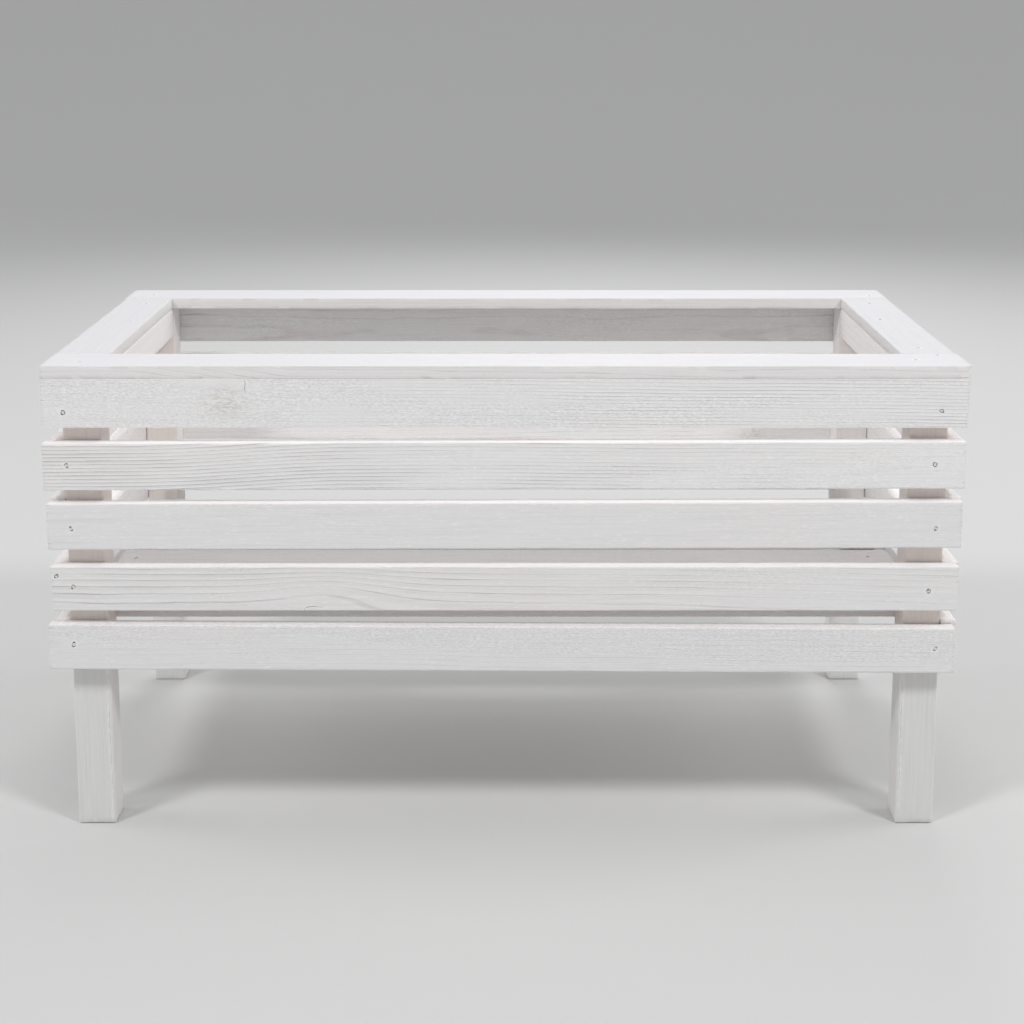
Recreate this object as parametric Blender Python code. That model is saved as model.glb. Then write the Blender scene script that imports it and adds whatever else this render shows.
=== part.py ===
# Slatted raised planter of whitewashed softwood, empty, on four square legs.
# Metres, +Z up, front towards -Y, origin on the ground under the planter's middle.

import math

import bmesh
import bpy
from mathutils import Matrix, Vector

# Overall sizes, over the rim
LENGTH = 1.000
DEPTH = 0.530
HEIGHT = 0.530

# Timber sections
RIM_THICK = 0.0135
RIM_LONG_WIDTH = 0.072  # front and back rim boards
RIM_SIDE_WIDTH = 0.0605  # the shorter boards between them
SLAT_THICK = 0.018
LEG = 0.042
TOP_RAIL_HEIGHT = 0.038
FLOOR_RAIL_HEIGHT = 0.046
FLOOR_BOARD_WIDTH = 0.0505

# Floor
FLOOR_TOP = 0.293
FLOOR_BOARDS = 4
FLOOR_BOARD_PITCH = 0.109
FLOOR_LAST_SHIFT = 0.060  # how much further back the last board lies, between the back legs
FLOOR_BOARD_REACH = 0.4383  # half the length of a floor board
FLOOR_BACK_RAIL_Y = 0.060

# Carpentry
FIT = 0.0003  # clearance where two boards touch
ARRIS = 0.0009  # eased edges of the sawn timber
RIM_OVERRUN = 0.0012  # how far the long rim boards' ends stand past the side ones
RIM_CORNER_RADIUS = 0.006  # the worn corner of each long rim board

# Nails, driven through the slats into the legs and sunk below the surface
NAIL_LENGTH = 0.040
NAIL_SHANK_RADIUS = 0.0011
NAIL_HEAD_RADIUS = 0.0019
NAIL_HEAD_THICK = 0.0012
NAIL_POINT = 0.004
NAIL_SUNK = 0.0008
NAIL_CLEARANCE = 0.0003
NAIL_SIDES = 10

# Slat rows from the top: upper edge, width, tilt in degrees (right end up), how far
# the left and right ends stand past the rim, and the nails as (x, height).
# The front face is described. The back is the same face turned half round.
SLAT_ROWS = (
    {"top": 0.5162, "width": 0.0538, "tilt": 0.0, "left": 0.0, "right": -0.0006,
     "nails": ((-0.4765, 0.4790), (0.4700, 0.4810))},
    {"top": 0.4460, "width": 0.0526, "tilt": 0.13, "left": 0.0016, "right": -0.0016,
     "nails": ((-0.4748, 0.4205), (0.4651, 0.4215))},
    {"top": 0.3787, "width": 0.0519, "tilt": 0.14, "left": -0.0006, "right": -0.0027,
     "nails": ((-0.4728, 0.3495), (0.4685, 0.3500))},
    {"top": 0.3070, "width": 0.0507, "tilt": 0.0, "left": -0.0017, "right": -0.0038,
     "nails": ((-0.4731, 0.2837), (0.4636, 0.2790))},
    {"top": 0.2384, "width": 0.0515, "tilt": -0.28, "left": 0.0027, "right": -0.0049,
     "nails": ((-0.4750, 0.2177), (0.4731, 0.2130))},
)
CORNER_NAIL = (-0.4910, 0.2960)  # into the end of the left slat of the fourth row
SIDE_SLAT_LIFTS = (0.0, -0.0012, 0.0010, -0.0008, 0.0014)  # side rows beside the front ones

PAINT = {
    "rim_paint": (0.86, 0.84, 0.87),
    "slat_paint": (0.80, 0.79, 0.79),
    "leg_paint": (0.78, 0.78, 0.77),
    "rail_paint": (0.72, 0.69, 0.67),
    "floor_paint": (0.66, 0.61, 0.60),
}
PAINT_ROUGHNESS = 0.72
NAIL_STEEL = (0.34, 0.33, 0.32)
NAIL_ROUGHNESS = 0.45

RIM_UNDER = HEIGHT - RIM_THICK - FIT  # height of whatever carries the rim
LEG_OUTER_X = LENGTH / 2 - SLAT_THICK - FIT
LEG_INNER_X = LEG_OUTER_X - LEG
LEG_OUTER_Y = DEPTH / 2 - SLAT_THICK - FIT
LEG_INNER_Y = LEG_OUTER_Y - LEG


def clear_scene():
    for obj in list(bpy.data.objects):
        bpy.data.objects.remove(obj, do_unlink=True)


def make_material(name, colour, roughness, metallic=0.0):
    material = bpy.data.materials.new(name)
    material.use_nodes = True
    shader = material.node_tree.nodes["Principled BSDF"]
    shader.inputs["Base Color"].default_value = (*colour, 1.0)
    shader.inputs["Roughness"].default_value = roughness
    shader.inputs["Metallic"].default_value = metallic
    material.diffuse_color = (*colour, 1.0)
    return material


def add_object(name, bm, material, location=(0, 0, 0)):
    mesh = bpy.data.meshes.new(name)
    bm.to_mesh(mesh)
    bm.free()
    obj = bpy.data.objects.new(name, mesh)
    obj.location = location
    if material:
        mesh.materials.append(material)
    bpy.context.scene.collection.objects.link(obj)
    return obj


def round_upright_edges(bm, corners, radius):
    """Rounds the upright edges of a box at the given (x sign, y sign) corners."""
    edges = []
    for edge in bm.edges:
        a, b = (v.co for v in edge.verts)
        upright = abs(a.z - b.z) > 1e-6
        if upright and (math.copysign(1, a.x), math.copysign(1, a.y)) in corners:
            edges.append(edge)
    bmesh.ops.bevel(bm, geom=edges, offset=radius, segments=5, profile=0.5, affect="EDGES")


def board(name, low, high, material, tilt=0.0, round_corners=()):
    """A sawn board between two corners, turned by tilt degrees about its own middle."""
    low, high = Vector(low), Vector(high)
    bm = bmesh.new()
    bmesh.ops.create_cube(bm, size=1.0)
    bmesh.ops.scale(bm, vec=high - low, verts=bm.verts)
    if round_corners:
        round_upright_edges(bm, round_corners, RIM_CORNER_RADIUS)
    obj = add_object(name, bm, material, (low + high) / 2)
    obj.rotation_euler.y = -math.radians(tilt)
    eased = obj.modifiers.new("eased edges", "BEVEL")
    eased.width = ARRIS
    eased.segments = 1
    eased.limit_method = "ANGLE"
    return obj


def turned(name, profile, material):
    """A solid turned about +Y from (distance along Y, radius) points, closed on the axis."""
    bm = bmesh.new()
    rings = []
    for along, radius in profile:
        if radius == 0:
            rings.append([bm.verts.new((0, along, 0))])
            continue
        angles = (2 * math.pi * i / NAIL_SIDES for i in range(NAIL_SIDES))
        rings.append(
            [bm.verts.new((radius * math.cos(a), along, radius * math.sin(a))) for a in angles]
        )
    for first, second in zip(rings, rings[1:]):
        for i in range(NAIL_SIDES):
            j = (i + 1) % NAIL_SIDES
            corners = [first[i % len(first)], first[j % len(first)],
                       second[j % len(second)], second[i % len(second)]]
            bm.faces.new(list(dict.fromkeys(corners)))
    for end in (rings[0], rings[-1]):
        if len(end) > 1:
            bm.faces.new(end)
    bmesh.ops.recalc_face_normals(bm, faces=bm.faces)
    return add_object(name, bm, material)


def nail_profile():
    head = NAIL_SUNK + NAIL_HEAD_THICK
    return [
        (NAIL_SUNK, NAIL_HEAD_RADIUS),
        (head, NAIL_HEAD_RADIUS),
        (head, NAIL_SHANK_RADIUS),
        (NAIL_LENGTH - NAIL_POINT, NAIL_SHANK_RADIUS),
        (NAIL_LENGTH, 0),
    ]


def hole_profile():
    """The nail's hole, from in front of the slat's face to just past its point."""
    mouth = NAIL_HEAD_RADIUS + NAIL_CLEARANCE
    shank = NAIL_SHANK_RADIUS + NAIL_CLEARANCE
    ledge = NAIL_SUNK + NAIL_HEAD_THICK + NAIL_CLEARANCE
    return [(-0.002, mouth), (ledge, mouth), (ledge, shank), (NAIL_LENGTH + 0.001, shank)]


def drive_nail(name, x, height, face, boards, steel):
    """Drives a nail at (x, height) into the front (-1) or back (+1) face, through boards."""
    spin = Matrix.Rotation(0.0 if face < 0 else math.pi, 4, "Z")
    place = Matrix.Translation((x, face * DEPTH / 2, height)) @ spin
    nail = turned(name, nail_profile(), steel)
    nail.matrix_world = place
    hole = turned(name + "_hole", hole_profile(), None)
    hole.matrix_world = place
    hole.hide_render = True
    hole.display_type = "WIRE"
    for obj in boards:
        cut = obj.modifiers.new(hole.name, "BOOLEAN")
        cut.operation = "DIFFERENCE"
        cut.solver = "EXACT"
        cut.object = hole


def make_rim(paint):
    """Two long boards over the full length, and the side boards between them."""
    half_x, half_y = LENGTH / 2, DEPTH / 2
    low_z, high_z = HEIGHT - RIM_THICK, HEIGHT
    end = half_x + RIM_OVERRUN
    inner = half_y - RIM_LONG_WIDTH
    board("rim_front", (-half_x, -half_y, low_z), (end, -inner, high_z), paint,
          round_corners=[(1, -1)])
    board("rim_back", (-end, inner, low_z), (half_x, half_y, high_z), paint,
          round_corners=[(-1, 1)])
    for side, sign in (("left", -1), ("right", 1)):
        xs = sorted((sign * half_x, sign * (half_x - RIM_SIDE_WIDTH)))
        board(f"rim_{side}", (xs[0], -inner + FIT, low_z), (xs[1], inner - FIT, high_z), paint)


def make_legs(paint):
    legs = {}
    for end, sign_y in (("front", -1), ("back", 1)):
        for side, sign_x in (("left", -1), ("right", 1)):
            xs = sorted((sign_x * LEG_OUTER_X, sign_x * LEG_INNER_X))
            ys = sorted((sign_y * LEG_OUTER_Y, sign_y * LEG_INNER_Y))
            legs[end, side] = board(
                f"leg_{end}_{side}", (xs[0], ys[0], 0), (xs[1], ys[1], RIM_UNDER), paint
            )
    return legs


def make_long_slats(end, sign, paint):
    """The full-length slats of the front (-1) or back (+1) face, top row first."""
    slats = []
    ys = sorted((sign * DEPTH / 2, sign * (DEPTH / 2 - SLAT_THICK)))
    for number, row in enumerate(SLAT_ROWS, 1):
        ends = (-LENGTH / 2 - row["left"], LENGTH / 2 + row["right"])
        xs = sorted(-sign * x for x in ends)
        slats.append(
            board(
                f"slat_{end}_{number}",
                (xs[0], ys[0], row["top"] - row["width"]),
                (xs[1], ys[1], row["top"]),
                paint,
                tilt=-sign * row["tilt"],
            )
        )
    return slats


def make_side_slats(side, sign, paint):
    """The slats of one side, between the long ones, top row first."""
    slats = []
    xs = sorted((sign * LENGTH / 2, sign * (LENGTH / 2 - SLAT_THICK)))
    reach = DEPTH / 2 - SLAT_THICK - FIT
    for number, (row, lift) in enumerate(zip(SLAT_ROWS, SIDE_SLAT_LIFTS), 1):
        top = row["top"] + lift
        low = (xs[0], -reach, top - row["width"])
        slats.append(board(f"slat_{side}_{number}", low, (xs[1], reach, top), paint))
    return slats


def make_top_rails(paint):
    """A rail under each side board of the rim, between the front and back legs."""
    reach = LEG_INNER_Y - FIT
    for side, sign in (("left", -1), ("right", 1)):
        xs = sorted((sign * LEG_OUTER_X, sign * LEG_INNER_X))
        low = (xs[0], -reach, RIM_UNDER - TOP_RAIL_HEIGHT)
        board(f"rail_top_{side}", low, (xs[1], reach, RIM_UNDER), paint)


def make_floor(rail_paint, floor_paint):
    """A long rail behind the front legs, a lower one past the middle between the side slats,
    and bearers from the first over the second. They carry spaced boards; the last board is
    fixed between the back legs."""
    top = FLOOR_TOP - SLAT_THICK - FIT
    low = top - FLOOR_RAIL_HEIGHT
    outer = LEG_INNER_Y - FIT
    inner = outer - LEG
    board("floor_rail_front", (-LEG_OUTER_X, -outer, low), (LEG_OUTER_X, -inner, top), rail_paint)
    board("floor_rail_back", (-LEG_OUTER_X, FLOOR_BACK_RAIL_Y, low - FIT - FLOOR_RAIL_HEIGHT),
          (LEG_OUTER_X, FLOOR_BACK_RAIL_Y + LEG, low - FIT), rail_paint)
    for side, sign in (("left", -1), ("right", 1)):
        xs = sorted((sign * (LEG_INNER_X - FIT), sign * (LEG_INNER_X - FIT - LEG)))
        board(f"floor_bearer_{side}", (xs[0], -inner + FIT, low),
              (xs[1], FLOOR_BACK_RAIL_Y + LEG, top), rail_paint)
    for number in range(FLOOR_BOARDS):
        y = -outer + number * FLOOR_BOARD_PITCH
        reach = FLOOR_BOARD_REACH
        if number == FLOOR_BOARDS - 1:
            y += FLOOR_LAST_SHIFT
            reach = LEG_INNER_X - FIT
        board(
            f"floor_board_{number + 1}",
            (-reach, y, top + FIT),
            (reach, y + FLOOR_BOARD_WIDTH, FLOOR_TOP),
            floor_paint,
        )


def nail_long_slats(end, sign, slats, legs, side_slats, steel):
    """Nails each slat of one long face to its two legs, and one slat to the side slat."""
    for number, (row, slat) in enumerate(zip(SLAT_ROWS, slats), 1):
        for x, height in row["nails"]:
            x *= -sign
            side = "left" if x < 0 else "right"
            drive_nail(f"nail_{end}_{number}_{side}", x, height, sign,
                       (slat, legs[end, side]), steel)
    if sign < 0:
        x, height = CORNER_NAIL
        drive_nail("nail_front_corner", x, height, sign, (slats[3], side_slats[3]), steel)


def main():
    clear_scene()
    paint = {name: make_material(name, c, PAINT_ROUGHNESS) for name, c in PAINT.items()}
    steel = make_material("nail_steel", NAIL_STEEL, NAIL_ROUGHNESS, metallic=0.9)
    make_rim(paint["rim_paint"])
    legs = make_legs(paint["leg_paint"])
    left_slats = make_side_slats("left", -1, paint["slat_paint"])
    make_side_slats("right", 1, paint["slat_paint"])
    for end, sign in (("front", -1), ("back", 1)):
        slats = make_long_slats(end, sign, paint["slat_paint"])
        nail_long_slats(end, sign, slats, legs, left_slats, steel)
    make_top_rails(paint["rail_paint"])
    make_floor(paint["rail_paint"], paint["floor_paint"])


main()
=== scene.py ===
# Looks of the slatted raised planter: sawn boards in brushed white paint, sunk nails, soft studio.
# Metres throughout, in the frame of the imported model: +X right, +Y back, +Z up.

import math
import random

import bmesh
import bpy
from mathutils import Euler, Matrix, Vector


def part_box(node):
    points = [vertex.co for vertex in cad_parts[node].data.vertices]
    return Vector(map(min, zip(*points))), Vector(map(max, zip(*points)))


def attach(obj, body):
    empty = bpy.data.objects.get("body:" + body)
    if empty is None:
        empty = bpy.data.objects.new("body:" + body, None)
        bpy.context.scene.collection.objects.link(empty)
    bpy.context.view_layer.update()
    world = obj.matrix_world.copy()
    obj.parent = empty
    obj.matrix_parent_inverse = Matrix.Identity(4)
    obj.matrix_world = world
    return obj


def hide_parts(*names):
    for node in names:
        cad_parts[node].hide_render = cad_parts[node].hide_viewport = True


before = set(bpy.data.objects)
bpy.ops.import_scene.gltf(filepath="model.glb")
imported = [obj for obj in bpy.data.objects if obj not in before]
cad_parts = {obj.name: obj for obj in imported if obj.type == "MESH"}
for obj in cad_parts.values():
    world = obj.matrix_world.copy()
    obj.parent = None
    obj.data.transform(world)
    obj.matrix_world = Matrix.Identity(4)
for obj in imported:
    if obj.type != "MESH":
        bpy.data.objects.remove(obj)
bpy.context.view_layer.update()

print("frame loaded:", len(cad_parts), "nodes")


# Node trees, written as formulas

class Wire:  # one value in a node tree, so that a formula reads as it is written
    def __init__(self, tree, socket):
        self.tree = tree
        self.socket = socket

    def math(self, operation, *others):
        return node(self.tree, "ShaderNodeMath", [self, *others], operation=operation)

    def vector(self, operation, *others):
        return node(self.tree, "ShaderNodeVectorMath", [self, *others], operation=operation)

    def __add__(self, other):
        return self.math("ADD", other)

    def __sub__(self, other):
        return self.math("SUBTRACT", other)

    def __mul__(self, other):
        return self.math("MULTIPLY", other)

    def __truediv__(self, other):
        return self.math("DIVIDE", other)

    def __rsub__(self, other):
        return self.math("MULTIPLY_ADD", -1.0, other)

    __radd__ = __add__

    def atLeast(self, other):
        return self.math("MAXIMUM", other)

    def atMost(self, other):
        return self.math("MINIMUM", other)

    def squared(self):
        return self.math("MULTIPLY", self)

    def step(self, low, high):  # 0 below low, 1 above high, smooth between
        return node(
            self.tree, "ShaderNodeMapRange", [self, low, high, 0.0, 1.0],
            interpolation_type="SMOOTHSTEP",
        )

    def split(self):
        made = self.tree.nodes.new("ShaderNodeSeparateXYZ")
        self.tree.links.new(self.socket, made.inputs[0])
        return [Wire(self.tree, output) for output in made.outputs]


def join(tree, value, socket):
    if isinstance(value, Wire):
        tree.links.new(value.socket, socket)
    else:
        socket.default_value = value


def node(tree, kind, inputs=(), out=0, **settings):
    made = tree.nodes.new(kind)
    for name, value in settings.items():
        setattr(made, name, value)
    pairs = inputs.items() if isinstance(inputs, dict) else enumerate(inputs)
    for key, value in pairs:
        join(tree, value, made.inputs[key])
    return Wire(tree, made.outputs[out])


def combine(tree, x, y, z):
    return node(tree, "ShaderNodeCombineXYZ", [x, y, z])


def noise(place, stretch, detail, roughness=0.5, out=0):  # stretch is in cycles a metre
    stretched = place.vector("MULTIPLY", stretch)
    return node(
        place.tree, "ShaderNodeTexNoise",
        {"Vector": stretched, "Scale": 1.0, "Detail": detail, "Roughness": roughness}, out,
    )


def patches(place, look):  # a noise from its description, spread over 0..1 where that has a range
    made = noise(place, look["stretch"], look["detail"], look.get("roughness", 0.5))
    return made.step(*look["range"]) if "range" in look else made


def scaled(vector, amount):
    return node(vector.tree, "ShaderNodeVectorMath",
                {"Vector": vector, "Scale": amount}, operation="SCALE")


def mixColour(tree, factor, first, second, blend="MIX"):  # 0, 6, 7 and 2 are the colour sockets
    return node(tree, "ShaderNodeMix", {0: factor, 6: first, 7: second}, 2,
                data_type="RGBA", blend_type=blend)


def newTree(name, kind, inputs, outputs):
    tree = bpy.data.node_groups.new(name, kind)
    for direction, wanted in (("INPUT", inputs), ("OUTPUT", outputs)):
        for label, socketType, *default in wanted:
            made = tree.interface.new_socket(
                label, in_out=direction, socket_type="NodeSocket" + socketType)
            if default:
                made.default_value = default[0]
    entry = tree.nodes.new("NodeGroupInput")
    given = {label: Wire(tree, entry.outputs[label]) for label, *rest in inputs}
    return tree, given, tree.nodes.new("NodeGroupOutput")


def numbers(values):  # number inputs of a tree, with these values unless it is given others
    return [(label, "Int" if isinstance(value, int) else "Float", value)
            for label, value in values.items()]


def named(kind, *labels):  # several sockets of one kind
    return [(label, kind) for label in labels]


def newObject(name, data):
    made = bpy.data.objects.new(name, data)
    bpy.context.scene.collection.objects.link(made)
    return made


# Sawn boards, shaped by one geometry tree

plainBoard = {  # at 9 metres along, a knot or the legs' painted shade is out of the way
    "Length": 1.0, "Width": 0.05, "Thickness": 0.018,
    "Cells Along": 300, "Cells Across": 40, "Cells Deep": 14, "Arris": 0.0013, "Corner": 0.0,
    "Pith Across": 0.1, "Pith Deep": 0.05, "Ring Pitch": 0.0035, "Taper": 0.0, "Wander": 0.004,
    "Ripple": 1.0, "Bend Rise": 0.0, "Bend From": 0.0, "Bend To": 0.1,
    "Knot Along": 9.0, "Knot Across": 0.0, "Knot Size": 0.015, "Knot Reach": 2.0, "Knot Stain": 0.0,
    "Relief": 0.0002, "Relief Lean": 0.0, "Fuzz": 0.0001, "Fuzz Cover": 0.5, "Fuzz Lean": 0.0,
    "Fuzz Drift": 0.0, "End Tear": 0.0005, "Unevenness": 0.0002, "Tone": 1.0,
    "Second Share": 0.0, "Sheltered From": 9.0, "Sheltered Sides": 0.0,
    "Lift": 0.0, "Left Skew": 0.0, "Right Skew": 0.0, "Seed": 0,
}

boardShape = {  # the same for every board
    "arrisCells": 2.0, "arrisEase": (0.3, 0.1),  # cells across the arris, and their crowding outwards
    "seedStep": (3.17, 1.91, 7.37),  # metres by which a seed moves the grain
    "parting": 0.95,  # how far rings bend round a knot, in its own sizes
    "stainReach": 1.35,  # of the knot's size, along the grain
    "ridgePower": 1.6,  # above 1, ridges are narrower than the hollows between them
    "leastRelief": 0.4,  # of the relief, where it is weakest
    "fuzzFade": 0.16, "fuzzShare": 0.7,  # softness of a fuzzy patch's edge, and its depth
    "edgeReach": 3.4,  # brings the middle of an arris to 1
    "arrisWear": 0.55,  # of the arris, worn off at most
    "endZone": (0.5, 0.8),  # the outward way's part along the board, between which the end takes over
    "skewZone": 0.03,  # length of board that an end out of square takes up
    "fullRelief": 0.0003, "fullFuzz": 0.00015,  # where the paint shows them in full
}

woodNoise = {  # stretch is in cycles a metre along, through and across the board
    "sway": {"stretch": (2.4, 1.0, 1.0), "detail": 1.0},
    "ripple": {"stretch": (11.0, 30.0, 30.0), "detail": 2.0},
    "strength": {"stretch": (5.0, 22.0, 22.0), "detail": 1.0, "range": (0.30, 0.60)},
    "rough": {"stretch": (8.0, 40.0, 40.0), "detail": 2.0},
    "fibre": {"stretch": (170.0, 520.0, 520.0), "detail": 1.0, "range": (0.38, 0.66)},
    "lows": {"stretch": (4.0, 14.0, 14.0), "detail": 1.0},
    "wear": {"stretch": (26.0, 60.0, 60.0), "detail": 2.0, "range": (0.4, 0.75)},
    "tear": {"stretch": (40.0, 260.0, 260.0), "detail": 2.0, "range": (0.38, 0.68)},
    "broad": {"stretch": (2.6, 9.0, 9.0), "detail": 2.0, "range": (0.3, 0.7)},
    "opened": {"stretch": (24.0, 170.0, 170.0), "detail": 1.0, "range": (0.46, 0.56)},
    "spotted": {"stretch": (24.0, 60.0, 60.0), "detail": 4.0, "roughness": 0.7, "range": (0.6, 0.8)},
}

paintZones = {  # in metres, from where a place starts to count to where it counts in full
    "inside": (0.0003, 0.0009),  # below every face, in a hole or a split
    "fromHole": (0.0001, 0.0016),  # the other way round: from in full to not at all
    "legShade": (-0.004, 0.008),  # past the height where the slats shade the legs, which get warmer paint there as painted shade
    "narrowFace": (-0.0004, 0.0004),
    "endGrain": (0.0016, 0.0008),
    "opened": (0.006, 0.0008),
}


def easedCell(cell, cells, half, arris):  # from a cell's number, counted from the middle, to metres
    fromMiddle = cell.math("ABSOLUTE")
    inward = cells * 0.5 - fromMiddle
    core = (half - arris) * fromMiddle / (cells * 0.5 - boardShape["arrisCells"])
    even, crowded = boardShape["arrisEase"]
    edge = half - arris * (inward * even + inward.squared() * crowded)
    atEdge = inward.math("LESS_THAN", boardShape["arrisCells"] - 0.5)
    return (edge * atEdge + core * (1.0 - atEdge)) * cell.math("SIGN")


def ringField(place, shifted, given):  # distance from the pith, counted in rings
    x, y, z = place.split()
    sway = woodNoise["sway"]
    swayAcross, swayDeep, unused = noise(shifted, sway["stretch"], sway["detail"], out=1).split()
    bent = x.step(given["Bend From"], given["Bend To"]) * given["Bend Rise"]
    across = (z - given["Pith Across"] - (swayAcross - 0.5) * 2.0 * given["Wander"]
              - bent - knotParting(x, z, given))
    deep = y - given["Pith Deep"] - (swayDeep - 0.5) * 2.0 * given["Wander"]
    radius = (across.squared() + deep.squared()).math("SQRT")
    ripple = (patches(shifted, woodNoise["ripple"]) - 0.5) * given["Ring Pitch"] * given["Ripple"]
    return (radius + ripple + given["Taper"] * x) / given["Ring Pitch"]


def knotReach(x, z, given, reach):  # how far along and across from the knot, in knot sizes
    along = (x - given["Knot Along"]) / (given["Knot Size"] * reach)
    across = (z - given["Knot Across"]) / given["Knot Size"]
    return along, across


def knotParting(x, z, given):  # the grain parts round a knot
    along, across = knotReach(x, z, given, given["Knot Reach"])
    fading = ((along.squared() + across.squared() * 0.5) * -1.0).math("EXPONENT")
    return across * fading * given["Knot Size"] * boardShape["parting"]


def resinStain(x, z, given):  # strongest in the middle of the knot, fading out round it
    along, across = knotReach(x, z, given, boardShape["stainReach"])
    return ((along.squared() + across.squared()) * -1.0).math("EXPONENT") * given["Knot Stain"]


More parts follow.
